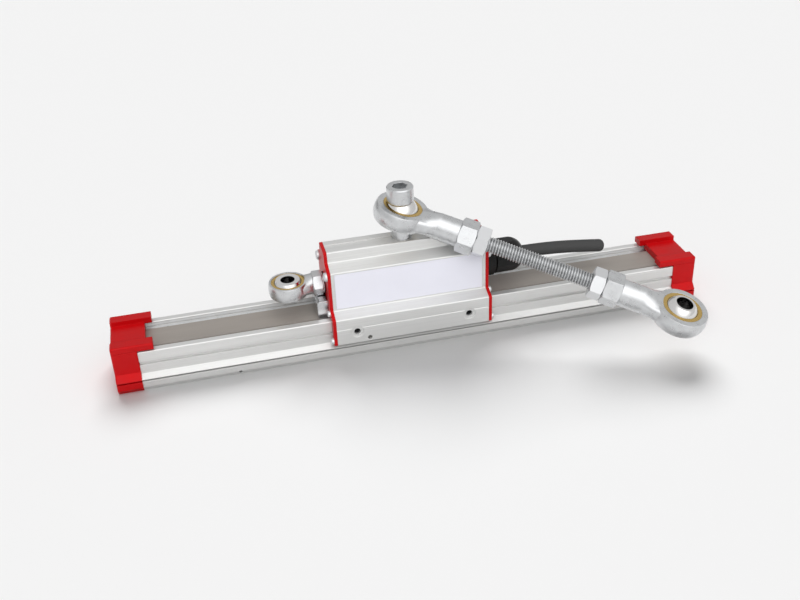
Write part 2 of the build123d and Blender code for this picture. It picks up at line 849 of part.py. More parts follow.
def ring_and_neck(frame, eye_radius, width, outer_radius, crown, neck, neck_from, root):
    """Crowned eye of a rod end, blended into a round neck along the frame's x axis from a root section.

    The root is (distance from the eye's centre, width), both as shares of the outer radius.
    """
    crown_edge = outer_radius - crown
    with BuildPart() as eye:
        with BuildSketch(cross_plane(frame, outer_radius * root[0])):
            RectangleRounded(outer_radius * root[1], width * neck_root_share, width * 0.3)
        with BuildSketch(cross_plane(frame, neck_from)):
            Circle(neck)
        loft()
        with BuildSketch(frame.offset(-2 * width)):
            Circle(eye_radius)
        extrude(amount=4 * width, mode=Mode.SUBTRACT)
        with BuildSketch(side_plane(frame)):
            with BuildLine():
                Polyline(
                    (crown_edge, width / 2),
                    (eye_radius, width / 2),
                    (eye_radius, -width / 2),
                    (crown_edge, -width / 2),
                )
                ThreePointArc((crown_edge, -width / 2), (outer_radius, 0), (crown_edge, width / 2))
            make_face()
        revolve(axis=Axis(frame.origin, frame.z_dir))
    return eye


def rod_end(frame):
    """Female rod end: eye, neck and hexagon collar, tapped along the frame's x axis."""
    eye = ring_and_neck(frame, race_radius, race_width, ring_radius, ring_crown, neck_radius, neck_start, neck_root)
    collar = hex_prism(cross_plane(frame, collar_start), collar_hex, rod_end_length - collar_start, screw_radius)
    with BuildPart() as housing:
        add(eye.part)
        with BuildSketch(cross_plane(frame, neck_start)):
            Circle(neck_radius)
        extrude(amount=collar_start - neck_start)
        add(collar.part)
        with BuildSketch(cross_plane(frame, rod_end_length)):
            Circle(screw_radius)
        extrude(amount=-(push_rod_grip + jam_nut_height), mode=Mode.SUBTRACT)
    return housing


# Push rod: its frame's x axis runs along the rod, its z axis through the near eye
ball_centre = (carriage_x, 0, crown_z + spacer_height + ball_width / 2)
link_length = 2 * (rod_end_length + jam_nut_height) + push_rod_visible
heading = (cos(radians(swing_angle)), sin(radians(swing_angle)))
link_frame = Plane(
    origin=ball_centre,
    x_dir=(
        heading[0] * cos(radians(droop_angle)),
        heading[1] * cos(radians(droop_angle)),
        -sin(radians(droop_angle)),
    ),
    z_dir=(
        heading[0] * sin(radians(droop_angle)),
        heading[1] * sin(radians(droop_angle)),
        cos(radians(droop_angle)),
    ),
)
rod_axis = Axis((0, 0, 0), link_frame.x_dir)
near_frame = Plane(
    origin=ball_centre,
    x_dir=link_frame.x_dir,
    z_dir=link_frame.z_dir.rotate(rod_axis, near_twist),
)
far_frame = Plane(
    origin=link_frame.from_local_coords((link_length, 0, 0)),
    x_dir=-link_frame.x_dir,
    z_dir=link_frame.z_dir.rotate(rod_axis, far_twist),
)
upright = Plane(origin=ball_centre, x_dir=(1, 0, 0), z_dir=(0, 0, 1))

finish(centre_ball(upright, ball_radius, ball_width, ball_bore_radius), "near_ball")
finish(race(near_frame, ball_radius, race_radius - thread_gap, race_width), "near_race")
finish(rod_end(near_frame), "near_rod_end")
finish(centre_ball(far_frame, ball_radius, ball_width, ball_bore_radius), "far_ball")
finish(race(far_frame, ball_radius, race_radius - thread_gap, race_width), "far_race")
finish(rod_end(far_frame), "far_rod_end")

near_nut = hex_prism(
    cross_plane(link_frame, rod_end_length), jam_nut_hex, jam_nut_height, screw_radius + thread_gap, jam_nut_turn
)
finish(near_nut, "near_jam_nut")
far_nut = hex_prism(
    cross_plane(link_frame, link_length - rod_end_length - jam_nut_height),
    jam_nut_hex,
    jam_nut_height,
    screw_radius + thread_gap,
    jam_nut_turn,
)
finish(far_nut, "far_jam_nut")

with BuildPart() as threaded_rod:
    rod_start = rod_end_length - push_rod_grip
    with BuildSketch(cross_plane(link_frame, rod_start)):
        Circle(screw_radius - thread_gap)
    extrude(amount=link_length - 2 * rod_start)
finish(threaded_rod, "threaded_rod")

with BuildPart() as spacer:
    with BuildSketch(Plane.XY.offset(crown_z)):
        with Locations((carriage_x, 0)):
            Circle(spacer_radius)
            Circle(ball_bore_radius, mode=Mode.SUBTRACT)
    extrude(amount=spacer_height)
    chamfer(spacer.edges().group_by(Axis.Z)[-1].sort_by(SortBy.RADIUS)[-1], corner_radius)
finish(spacer, "spacer")

with BuildPart() as ball_screw:
    head_seat = Plane(origin=(carriage_x, 0, ball_centre[2] + ball_width / 2), z_dir=(0, 0, 1))
    with BuildSketch(head_seat):
        Circle(screw_head_radius)
    extrude(amount=screw_head_height)
    chamfer(ball_screw.edges().group_by(Axis.Z)[-1], corner_radius)
    with BuildSketch(head_seat):
        Circle(screw_radius - thread_gap)
    extrude(amount=-(ball_width + spacer_height + screw_engagement))
    with BuildSketch(head_seat.offset(screw_head_height)):
        RegularPolygon(screw_socket / 2, 6, major_radius=False)
    extrude(amount=-screw_socket_depth, mode=Mode.SUBTRACT)
finish(ball_screw, "ball_screw")

# Small rod end: carrier through the left plate, nut, eye and ball
pad_face = left_face - pad_thickness
flange_face = pad_face - carrier_flange
stud_nut_face = flange_face - stud_nut_height
stud_frame = Plane(origin=(stud_nut_face - stud_reach, 0, side_axis_z), x_dir=(1, 0, 0), z_dir=(0, 0, 1))

with BuildPart() as carrier_pad:
    with BuildSketch(gland_plane(pad_face)):
        Circle(pad_radius)
        Circle(carrier_boss_radius + thread_gap, mode=Mode.SUBTRACT)
    extrude(amount=pad_thickness)
finish(carrier_pad, "carrier_pad")

with BuildPart() as rod_end_carrier:
    with BuildSketch(gland_plane(flange_face)):
        Circle(carrier_flange_radius)
        Circle(stud_radius, mode=Mode.SUBTRACT)
    extrude(amount=carrier_flange)
    with BuildSketch(gland_plane(pad_face)):
        Circle(carrier_boss_radius)
        Circle(stud_radius, mode=Mode.SUBTRACT)
    extrude(amount=carrier_boss_length)
finish(rod_end_carrier, "rod_end_carrier")

carrier_nut = hex_prism(
    gland_plane(left_face + plate_thickness), carrier_nut_hex, carrier_nut_height, carrier_boss_radius + thread_gap
)
finish(carrier_nut, "carrier_nut")

stud_nut = hex_prism(gland_plane(stud_nut_face), stud_nut_hex, stud_nut_height, stud_radius)
finish(stud_nut, "stud_nut")

stud_eye = ring_and_neck(
    stud_frame,
    stud_race_radius,
    stud_ring_width,
    stud_ring_radius,
    stud_ring_crown,
    stud_neck_radius,
    stud_reach,
    stud_neck_root,
)
with BuildPart() as small_rod_end:
    add(stud_eye.part)
    with BuildSketch(gland_plane(stud_nut_face)):
        Circle(stud_radius - thread_gap)
    extrude(amount=pad_face + carrier_boss_length - stud_nut_face)
finish(small_rod_end, "small_rod_end")
finish(race(stud_frame, stud_ball_radius, stud_race_radius - thread_gap, stud_race_width), "small_race")
finish(centre_ball(stud_frame, stud_ball_radius, stud_ball_width, stud_ball_bore), "small_ball")

# Wiper: a block on the left plate whose foot runs in the channel just above the tape
with BuildPart() as rail_wiper:
    with BuildSketch(Plane.YZ.offset(left_face)):
        with Locations((0, (scale_top + wiper_clearance + wiper_top) / 2)):
            Rectangle(wiper_width, wiper_top - scale_top - wiper_clearance)
    extrude(amount=-wiper_length)
    chamfer(rail_wiper.faces().sort_by(Axis.X)[0].edges().filter_by(Axis.Y), wiper_edge)
finish(rail_wiper, "rail_wiper")
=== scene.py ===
"""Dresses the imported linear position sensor: thread, nuts, screws, lead, finishes and studio."""

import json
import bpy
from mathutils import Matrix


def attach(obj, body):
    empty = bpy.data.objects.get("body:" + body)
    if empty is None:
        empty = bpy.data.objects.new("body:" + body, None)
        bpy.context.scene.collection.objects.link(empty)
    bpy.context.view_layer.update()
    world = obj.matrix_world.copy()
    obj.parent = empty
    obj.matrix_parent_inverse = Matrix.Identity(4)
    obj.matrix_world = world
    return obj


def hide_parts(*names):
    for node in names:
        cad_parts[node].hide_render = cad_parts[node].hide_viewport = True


bl_info = {
    "name": "Linear Position Sensor",
    "version": (1, 0, 0),
    "blender": (4, 5, 0),
    "location": "View3D > Sidebar > Sensor",
    "description": "Models the small hardware and the lead of a linear position sensor and sets its finishes",
    "category": "Object",
}

from math import pi, radians, sqrt

import bpy
from bpy.props import FloatProperty, FloatVectorProperty, IntProperty, PointerProperty
from mathutils import Euler, Matrix, Vector

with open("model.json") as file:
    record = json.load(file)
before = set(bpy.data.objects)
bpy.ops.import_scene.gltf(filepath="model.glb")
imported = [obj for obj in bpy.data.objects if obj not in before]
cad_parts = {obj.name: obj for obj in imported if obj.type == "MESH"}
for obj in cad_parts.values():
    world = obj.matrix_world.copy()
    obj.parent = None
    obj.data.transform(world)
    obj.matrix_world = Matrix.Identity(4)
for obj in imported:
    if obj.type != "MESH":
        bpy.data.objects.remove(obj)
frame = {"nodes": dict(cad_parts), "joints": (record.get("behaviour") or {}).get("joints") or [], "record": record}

NODES = frame["nodes"]
JOINTS = {joint["name"]: joint for joint in frame["joints"]}
MM = 0.001


# Sizes and colours that a user would change
class SensorSizes(bpy.types.PropertyGroup):
    """Sizes of the pieces that are modelled here"""

    thread_radius: FloatProperty(
        name="Thread radius",
        description="Crest radius of the push rod's thread",
        default=2.93 * MM,
        unit="LENGTH",
    )
    thread_pitch: FloatProperty(
        name="Thread pitch",
        description="Distance from crest to crest",
        default=1.0 * MM,
        unit="LENGTH",
    )
    thread_depth: FloatProperty(
        name="Thread depth",
        description="Height of a thread from root to crest",
        default=0.55 * MM,
        unit="LENGTH",
    )
    thread_steps: IntProperty(
        name="Thread steps",
        description="Facets in each turn of the thread",
        default=28,
        min=8,
    )
    lead_diameter: FloatProperty(
        name="Lead diameter",
        description="Outside diameter of the lead",
        default=4.8 * MM,
        unit="LENGTH",
    )
    lead_length: FloatProperty(
        name="Lead length",
        description="Length of the free lead",
        default=33.1 * MM,
        unit="LENGTH",
    )
    lead_end_radius: FloatProperty(
        name="Lead end",
        description="Rounding of the lead's closed end",
        default=1.9 * MM,
        unit="LENGTH",
    )
    head_height: FloatProperty(
        name="Pan head height",
        description="Height of the plate screws' heads",
        default=1.1 * MM,
        unit="LENGTH",
    )
    head_dome: FloatProperty(
        name="Pan head dome",
        description="Rounding of the pan heads' rims",
        default=0.62 * MM,
        unit="LENGTH",
    )
    recess_depth: FloatProperty(
        name="Recess depth",
        description="Depth of the cross recess in a pan head",
        default=0.6 * MM,
        unit="LENGTH",
    )


class SensorColours(bpy.types.PropertyGroup):
    """Base colours of the finishes"""

    aluminium: FloatVectorProperty(
        name="Anodised aluminium",
        description="Rail and carriage",
        subtype="COLOR",
        size=3,
        default=(0.74, 0.74, 0.73),
    )
    red: FloatVectorProperty(
        name="Red plastic",
        description="End caps and end plates",
        subtype="COLOR",
        size=3,
        default=(0.52, 0.003, 0.005),
    )
    zinc: FloatVectorProperty(
        name="Zinc plating",
        description="Rod ends, nuts and screws",
        subtype="COLOR",
        size=3,
        default=(0.70, 0.71, 0.72),
    )
    chrome: FloatVectorProperty(
        name="Polished ball",
        description="Balls of the rod ends",
        subtype="COLOR",
        size=3,
        default=(0.78, 0.77, 0.76),
    )
    brass: FloatVectorProperty(
        name="Brass",
        description="Races of the rod ends",
        subtype="COLOR",
        size=3,
        default=(0.62, 0.43, 0.15),
    )
    black: FloatVectorProperty(
        name="Black plastic",
        description="Gland and lead",
        subtype="COLOR",
        size=3,
        default=(0.009, 0.009, 0.009),
    )
    tape: FloatVectorProperty(
        name="Coded tape",
        description="Magnetic tape in the channel",
        subtype="COLOR",
        size=3,
        default=(0.33, 0.30, 0.272),
    )
    label: FloatVectorProperty(
        name="Label film",
        description="Bare label",
        subtype="COLOR",
        size=3,
        default=(0.80, 0.80, 0.88),
    )
    blackened: FloatVectorProperty(
        name="Blackened steel",
        description="Set screws",
        subtype="COLOR",
        size=3,
        default=(0.030, 0.030, 0.032),
    )
    board: FloatVectorProperty(
        name="Circuit board",
        description="Solder resist",
        subtype="COLOR",
        size=3,
        default=(0.02, 0.16, 0.05),
    )
    cores: FloatVectorProperty(
        name="Core insulation",
        description="Insulation of the lead's cores",
        subtype="COLOR",
        size=3,
        default=(0.52, 0.20, 0.03),
    )
    glide: FloatVectorProperty(
        name="Glide plastic",
        description="Glide shoes",
        subtype="COLOR",
        size=3,
        default=(0.72, 0.70, 0.62),
    )
    backdrop: FloatVectorProperty(
        name="Backdrop",
        description="Floor and background",
        subtype="COLOR",
        size=3,
        default=(0.88, 0.88, 0.88),
    )


def sizes():
    """The scene's sizes."""
    return bpy.context.scene.sensor_sizes


def colours():
    """The scene's colours."""
    return bpy.context.scene.sensor_colours


# Small tools for modelling by hand
MERGE_DISTANCE = 0.002 * MM
FACING = 0.9


def deselect():
    """Leave edit mode and select nothing."""
    if bpy.context.object and bpy.context.object.mode == "EDIT":
        bpy.ops.object.mode_set(mode="OBJECT")
    bpy.ops.object.select_all(action="DESELECT")


def activate(piece):
    """Select one piece alone and make it active."""
    deselect()
    piece.select_set(True)
    bpy.context.view_layer.objects.active = piece


def named(name):
    """Name the object that was just added."""
    piece = bpy.context.object
    piece.name = name
    piece.data.name = name
    return piece


def remove(piece):
    """Delete a piece."""
    activate(piece)
    bpy.ops.object.delete()


def apply_modifiers(piece):
    """Apply every modifier of a piece in order."""
    activate(piece)
    for modifier in list(piece.modifiers):
        bpy.ops.object.modifier_apply(modifier=modifier.name)


def apply_place(piece):
    """Put a piece's place, turn and scale into its mesh."""
    activate(piece)
    bpy.ops.object.transform_apply(location=True, rotation=True, scale=True)


def settle(piece, place):
    """Move a piece to its place and leave its object at the origin."""
    activate(piece)
    piece.matrix_world = place @ piece.matrix_world
    apply_place(piece)


def add_cylinder(name, sides, radius, height, middle, turn=0.0):
    """Upright cylinder about the z axis, with its middle at a height."""
    deselect()
    bpy.ops.mesh.primitive_cylinder_add(
        vertices=sides,
        radius=radius,
        depth=height,
        location=(0, 0, middle),
        rotation=(0, 0, turn),
    )
    piece = named(name)
    apply_place(piece)
    return piece


def copy_of(piece, name):
    """A copy with a mesh of its own."""
    activate(piece)
    bpy.ops.object.duplicate(linked=False)
    return named(name)


def join(pieces, name):
    """Join pieces into the first one."""
    deselect()
    for piece in pieces:
        piece.select_set(True)
    bpy.context.view_layer.objects.active = pieces[0]
    bpy.ops.object.join()
    return named(name)


def cut(piece, cutter, operation="DIFFERENCE"):
    """Cut one piece with another and throw the cutter away."""
    modifier = piece.modifiers.new("cut", "BOOLEAN")
    modifier.operation = operation
    modifier.solver = "EXACT"
    modifier.object = cutter
    apply_modifiers(piece)
    remove(cutter)


def along(start, direction):
    """Place whose z axis points along a direction."""
    turn = Vector(direction).normalized().to_track_quat("Z", "Y").to_matrix().to_4x4()
    return Matrix.Translation(Vector(start)) @ turn


def draw_profile(name, points):
    """Open line of edges through points, drawn by extruding one vertex from the next."""
    deselect()
    bpy.ops.mesh.primitive_plane_add(size=MM, location=(0, 0, 0))
    piece = named(name)
    bpy.ops.object.mode_set(mode="EDIT")
    bpy.ops.mesh.select_all(action="SELECT")
    bpy.ops.mesh.merge(type="CENTER")
    bpy.ops.transform.translate(value=points[0])
    for here, there in zip(points, points[1:]):
        step = Vector(there) - Vector(here)
        bpy.ops.mesh.extrude_region_move(TRANSFORM_OT_translate={"value": step})
    bpy.ops.object.mode_set(mode="OBJECT")
    return piece


def tidy_normals(piece):
    """Merge doubles and turn every face outwards."""
    activate(piece)
    bpy.ops.object.mode_set(mode="EDIT")
    bpy.ops.mesh.select_all(action="SELECT")
    bpy.ops.mesh.remove_doubles(threshold=MERGE_DISTANCE)
    bpy.ops.mesh.normals_make_consistent(inside=False)
    bpy.ops.object.mode_set(mode="OBJECT")


def smooth(piece, degrees):
    """Smooth shading that keeps edges sharper than an angle."""
    activate(piece)
    bpy.ops.object.shade_smooth_by_angle(angle=radians(degrees))


def select_faces(piece, wanted):
    """Select the faces that a test on centre and normal picks, and go to edit mode."""
    activate(piece)
    bpy.ops.object.mode_set(mode="EDIT")
    bpy.ops.mesh.select_mode(type="FACE")
    bpy.ops.mesh.select_all(action="DESELECT")
    bpy.ops.object.mode_set(mode="OBJECT")
    for face in piece.data.polygons:
        face.select = wanted(face.center, face.normal)
    bpy.ops.object.mode_set(mode="EDIT")


def upward(centre, normal):
    """Whether a face looks up."""
    return normal.z > FACING


def downward(centre, normal):
    """Whether a face looks down."""
    return normal.z < -FACING


# Finishes: pattern scales on Object coordinates, along the rail, across it and up
DRAWN_LINES = (12, 2600, 2600)
DRAWN_CLOUDS = (60, 160, 160)
ANODISED_GRAIN = (9000, 9000, 9000)
HANDLING_WEAR = (150, 150, 150)
PLATING_BLOTCHES = (420, 420, 420)
PLATING_PITS = (3200, 3200, 3200)
POLISHING_MARKS = (900, 900, 4200)
TAPE_STREAKS = (25, 1500, 1500)
TAPE_CLOUDS = (40, 260, 260)
FILM_CLOUDS = (120, 120, 120)
FILM_PEEL = (1400, 1400, 1400)
PAPER_FIBRE = (90, 90, 90)
MOULD_GRAIN = 2500
SHEATH_GRAIN = 1600

# Stretch of a pattern's values, about its middle, that is spread over a range
PATTERN_SPAN = 0.5

# Edges, rounded in the shading by a radius
EDGE_SAMPLES = 6
ALUMINIUM_EDGE = 0.18 * MM
PLASTIC_EDGE = 0.15 * MM
CAP_EDGE = 0.30 * MM
STEEL_EDGE = 0.30 * MM

# Depths of the fine relief
LINE_DEPTH = 0.004 * MM
ANODISED_DEPTH = 0.003 * MM
MOULD_DEPTH = 0.012 * MM
BLOTCH_DEPTH = 0.02 * MM
PIT_DEPTH = 0.006 * MM
MARK_DEPTH = 0.0015 * MM
STREAK_DEPTH = 0.003 * MM
PEEL_DEPTH = 0.004 * MM

# Painted shade in the thread's roots, and in the balls' bores as shares of the bore's radius
THREAD_HEIGHT = "thread_height"
ROOT_SHADE = 0.48
ROOT_REACH = (0.05, 0.70)
BORE_SHADE = 0.22
BORE_REACH = (1.02, 1.05)


class Finish:
    """One node material around a Principled shader, built up step by step."""

    def __init__(self, name, colour, metallic, roughness):
        self.material = bpy.data.materials.new(name)
        self.material.use_nodes = True
        self.nodes = self.material.node_tree.nodes
        self.links = self.material.node_tree.links
        self.shader = self.nodes["Principled BSDF"]
        self.shader.inputs["Base Color"].default_value = (*colour, 1)
        self.shader.inputs["Metallic"].default_value = metallic
        self.shader.inputs["Roughness"].default_value = roughness
        self.colour = tuple(colour)
        self.roughness = roughness
        self.height = None

    @classmethod
    def worn_by(cls, material):
        """Take up a material that was already made, to add to it."""
        finish = cls.__new__(cls)
        finish.material = material
        finish.nodes = material.node_tree.nodes
        finish.links = material.node_tree.links
        finish.shader = finish.nodes["Principled BSDF"]
        return finish

    def add(self, kind):
        """A new node."""
        return self.nodes.new(kind)

    def pattern(self, stretch, detail=4.0, seed=0.0):
        """Noise on Object coordinates, stretched per axis."""
        place = self.add("ShaderNodeTexCoord")
        mapping = self.add("ShaderNodeMapping")
        mapping.inputs["Scale"].default_value = stretch
        mapping.inputs["Location"].default_value = (seed, seed * 2, seed * 3)
        noise = self.add("ShaderNodeTexNoise")
        noise.inputs["Scale"].default_value = 1.0
        noise.inputs["Detail"].default_value = detail
        self.links.new(place.outputs["Object"], mapping.inputs["Vector"])
        self.links.new(mapping.outputs["Vector"], noise.inputs["Vector"])
        return noise.outputs["Fac"]

    def spread(self, source, low, high):
        """Map a pattern's middle stretch onto a range of values."""
        ramp = self.add("ShaderNodeMapRange")
        ramp.inputs["From Min"].default_value = 0.5 - PATTERN_SPAN / 2
        ramp.inputs["From Max"].default_value = 0.5 + PATTERN_SPAN / 2
        ramp.inputs["To Min"].default_value = low
        ramp.inputs["To Max"].default_value = high
        self.links.new(source, ramp.inputs["Value"])
        return ramp.outputs["Result"]

    def vary_colour(self, source, darker):
        """Mix the base colour towards a darker tone by a pattern."""
        mix = self.add("ShaderNodeMix")
        mix.data_type = "RGBA"
        mix.inputs["A"].default_value = (*[c * darker for c in self.colour], 1)
        mix.inputs["B"].default_value = (*self.colour, 1)
        self.links.new(self.spread(source, 0.0, 1.0), mix.inputs["Factor"])
        self.links.new(mix.outputs["Result"], self.shader.inputs["Base Color"])

    def vary_roughness(self, source, swing):
        """Let the roughness swing about its value by a pattern."""
        roughness = self.spread(source, self.roughness - swing, self.roughness + swing)
        self.links.new(roughness, self.shader.inputs["Roughness"])

    def shade_by(self, source, reach, darker):
        """Darken the colour at the low end of a value's reach, up to the full colour at its high end."""
        ramp = self.add("ShaderNodeMapRange")
        ramp.inputs["From Min"].default_value = reach[0]
        ramp.inputs["From Max"].default_value = reach[1]
        self.links.new(source, ramp.inputs["Value"])
        # The shade goes from the darker tone to white, and multiplies the colour
        shade = self.add("ShaderNodeMix")
        shade.data_type = "RGBA"
        shade.inputs["A"].default_value = (*[darker] * 3, 1)
        shade.inputs["B"].default_value = (1, 1, 1, 1)
        self.links.new(ramp.outputs["Result"], shade.inputs["Factor"])
        mix = self.add("ShaderNodeMix")
        mix.data_type = "RGBA"
        mix.blend_type = "MULTIPLY"
        mix.inputs["Factor"].default_value = 1.0
        self.links.new(self.shader.inputs["Base Color"].links[0].from_socket, mix.inputs["A"])
        self.links.new(shade.outputs["Result"], mix.inputs["B"])
        self.links.new(mix.outputs["Result"], self.shader.inputs["Base Color"])

    def reach_from(self, centre, axis):
        """Distance from a line through a centre, on Object coordinates."""
        place = self.add("ShaderNodeTexCoord")
        mapping = self.add("ShaderNodeMapping")
        mapping.vector_type = "TEXTURE"
        mapping.inputs["Location"].default_value = centre
        mapping.inputs["Rotation"].default_value = Vector(axis).to_track_quat("Z", "Y").to_euler()
        flat = self.add("ShaderNodeVectorMath")
        flat.operation = "MULTIPLY"
        flat.inputs[1].default_value = (1, 1, 0)
        length = self.add("ShaderNodeVectorMath")
        length.operation = "LENGTH"
        self.links.new(place.outputs["Object"], mapping.inputs["Vector"])
        self.links.new(mapping.outputs["Vector"], flat.inputs[0])
        self.links.new(flat.outputs["Vector"], length.inputs[0])
        return length.outputs["Value"]

    def soften(self, radius):
        """Round the edges in the shading."""
        edge = self.add("ShaderNodeBevel")
        edge.samples = EDGE_SAMPLES
        edge.inputs["Radius"].default_value = radius
        self.height = edge.outputs["Normal"]
        self.links.new(self.height, self.shader.inputs["Normal"])

    def bump(self, source, depth, strength=1.0):
        """Raise the surface by a pattern."""
        bump = self.add("ShaderNodeBump")
        bump.inputs["Distance"].default_value = depth
        bump.inputs["Strength"].default_value = strength
        self.links.new(source, bump.inputs["Height"])
        if self.height:
            self.links.new(self.height, bump.inputs["Normal"])
        self.height = bump.outputs["Normal"]
        self.links.new(self.height, self.shader.inputs["Normal"])


def extruded_aluminium(name, colour, roughness, seed):
    """Clear anodised extrusion: faint lines along the rail and a soft cloudiness."""
    finish = Finish(name, colour, metallic=0.62, roughness=roughness)
    finish.soften(ALUMINIUM_EDGE)
    lines = finish.pattern(DRAWN_LINES, detail=3, seed=seed)
    clouds = finish.pattern(DRAWN_CLOUDS, detail=2, seed=seed + 1)
    grain = finish.pattern(ANODISED_GRAIN, detail=2, seed=seed + 2)
    finish.vary_colour(lines, darker=0.93)
    finish.vary_roughness(clouds, swing=0.05)
    finish.bump(lines, LINE_DEPTH)
    finish.bump(grain, ANODISED_DEPTH)
    return finish.material


def moulded_plastic(name, colour, roughness, seed, grain=MOULD_GRAIN, shine=0.45, edge=PLASTIC_EDGE):
    """Moulded plastic with a fine spark-eroded grain and a little handling wear."""
    finish = Finish(name, colour, metallic=0.0, roughness=roughness)
    finish.soften(edge)
    specks = finish.pattern((grain, grain, grain), detail=3, seed=seed)
    wear = finish.pattern(HANDLING_WEAR, detail=4, seed=seed + 1)
    finish.vary_colour(wear, darker=0.86)
    finish.vary_roughness(wear, swing=0.07)
    finish.bump(specks, MOULD_DEPTH)
    finish.shader.inputs["Specular IOR Level"].default_value = shine
    return finish.material


def plated_steel(name, colour, roughness, darker=0.82, seed=0.0):
    """Bright plated steel: blotches, faint pits and a soft grain."""
    finish = Finish(name, colour, metallic=1.0, roughness=roughness)
    finish.soften(STEEL_EDGE)
    blotches = finish.pattern(PLATING_BLOTCHES, detail=5, seed=seed)
    pits = finish.pattern(PLATING_PITS, detail=3, seed=seed + 1)
    finish.vary_colour(blotches, darker=darker)
    finish.vary_roughness(blotches, swing=0.07)
    finish.bump(blotches, BLOTCH_DEPTH, strength=0.5)
    finish.bump(pits, PIT_DEPTH)
    return finish.material


def thread_steel(name, colour, roughness):
    """Plated steel with painted shade that darkens the roots between the thread's crests."""
    material = plated_steel(name, colour, roughness, seed=8.0)
    finish = Finish.worn_by(material)
    crest = finish.add("ShaderNodeAttribute")
    crest.attribute_name = THREAD_HEIGHT
    finish.shade_by(crest.outputs["Fac"], ROOT_REACH, ROOT_SHADE)
    return material


def polished_metal(name, colour, roughness, seed=0.0):
    """Polished metal with hair marks."""
    finish = Finish(name, colour, metallic=1.0, roughness=roughness)
    marks = finish.pattern(POLISHING_MARKS, detail=4, seed=seed)
    finish.vary_colour(marks, darker=0.93)
    finish.vary_roughness(marks, swing=0.03)
    finish.bump(marks, MARK_DEPTH)
    return finish.material


def ball_with_painted_bore_shade(name, colour, roughness, bore):
    """Polished ball with painted shade that darkens its bore."""
    centre, axis, radius = bore
    material = polished_metal(name, colour, roughness)
    finish = Finish.worn_by(material)
    reach = [share * radius for share in BORE_REACH]
    finish.shade_by(finish.reach_from(centre, axis), reach, BORE_SHADE)
    return material


def rubber_tape(name, colour):
    """Coded rubber tape: dull, faintly streaked along the rail."""
    finish = Finish(name, colour, metallic=0.15, roughness=0.48)
    streaks = finish.pattern(TAPE_STREAKS)
    clouds = finish.pattern(TAPE_CLOUDS, detail=3, seed=3)
    finish.vary_colour(clouds, darker=0.90)
    finish.vary_roughness(streaks, swing=0.06)
    finish.bump(streaks, STREAK_DEPTH)
    return finish.material


def film(name, colour):
    """Smooth label film, left bare."""
    finish = Finish(name, colour, metallic=0.0, roughness=0.34)
    clouds = finish.pattern(FILM_CLOUDS, detail=3)
    peel = finish.pattern(FILM_PEEL, detail=2, seed=4)
    finish.vary_colour(clouds, darker=0.975)
    finish.vary_roughness(clouds, swing=0.04)
    finish.bump(peel, PEEL_DEPTH)
    finish.shader.inputs["Coat Weight"].default_value = 0.25
    return finish.material


# Bores of the two open balls: each is (centre, axis, radius)
FAR_BORE = (tuple(JOINTS["far_ball_tilt"]["pos_m"]), (0.2055, -0.2603, 0.9434), 3.0 * MM)
SMALL_BORE = (tuple(JOINTS["small_ball_tilt"]["pos_m"]), (0, 0, 1), 2.53 * MM)


# Finishes: each name stands for (its maker, its colour, the rest of its look)
FINISHES = {
    "rail_aluminium": (extruded_aluminium, "aluminium", {"roughness": 0.38, "seed": 0.0}),
    "carriage_aluminium": (extruded_aluminium, "aluminium", {"roughness": 0.50, "seed": 5.0}),
    "backing_steel": (plated_steel, "zinc", {"roughness": 0.32, "seed": 9.0}),
    "zinc_steel": (plated_steel, "zinc", {"roughness": 0.30, "seed": 0.0}),
    "bright_steel": (plated_steel, "zinc", {"roughness": 0.20, "seed": 6.0, "darker": 0.9}),
    "blackened_steel": (plated_steel, "blackened", {"roughness": 0.42, "seed": 7.0}),
    # This finish paints shade into the thread's roots
    "thread_steel": (thread_steel, "zinc", {"roughness": 0.26}),
    "ball_chrome": (polished_metal, "chrome", {"roughness": 0.09}),
    # These two finishes paint shade into the balls' bores
    "far_ball_chrome": (ball_with_painted_bore_shade, "chrome", {"roughness": 0.09, "bore": FAR_BORE}),
    "small_ball_chrome": (ball_with_painted_bore_shade, "chrome", {"roughness": 0.09, "bore": SMALL_BORE}),
    "race_brass": (polished_metal, "brass", {"roughness": 0.28, "seed": 2.0}),
    "red_plastic": (
        moulded_plastic,
        "red",
        {"roughness": 0.36, "seed": 1.0, "shine": 0.16, "edge": CAP_EDGE},
    ),
    "black_plastic": (moulded_plastic, "black", {"roughness": 0.32, "seed": 3.0, "shine": 0.20}),
    "black_rubber": (moulded_plastic, "black", {"roughness": 0.65, "seed": 4.0}),
    "cable_sheath": (
        moulded_plastic,
        "black",
        {"roughness": 0.42, "seed": 5.0, "shine": 0.20, "grain": SHEATH_GRAIN},
    ),
    "core_insulation": (moulded_plastic, "cores", {"roughness": 0.35, "seed": 6.0}),
    "board_green": (moulded_plastic, "board", {"roughness": 0.30, "seed": 7.0}),
    "glide_plastic": (moulded_plastic, "glide", {"roughness": 0.45, "seed": 8.0}),
    "tape_black": (rubber_tape, "tape", {}),
    "label_film": (film, "label", {}),
}


def make_finishes():
    """The finish of each of the record's slots, and the variants."""
    tone = colours()
    finishes = {}
    for name, (make, colour, look) in FINISHES.items():
        finishes[name] = make(name, getattr(tone, colour), **look)
    return finishes


def material_named(name):
    """The frame's plain material of a slot, or a finish made here whose name isn't a slot's."""
    return bpy.data.materials[name]


def dress(piece, slot, body):
    """Give a new piece the slot's plain material and the body that it rides on."""
    piece.data.materials.clear()
    piece.data.materials.append(material_named(slot))
    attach(piece, body)


# Nodes whose finish is a variant of their slot's
OWN_FINISHES = {
    "adjusting_screws_front": "blackened_steel",
    "adjusting_screws_rear": "blackened_steel",
    # The two balls get the finishes with painted shade in their bores
    "far_ball": "far_ball_chrome",
    "small_ball": "small_ball_chrome",
}


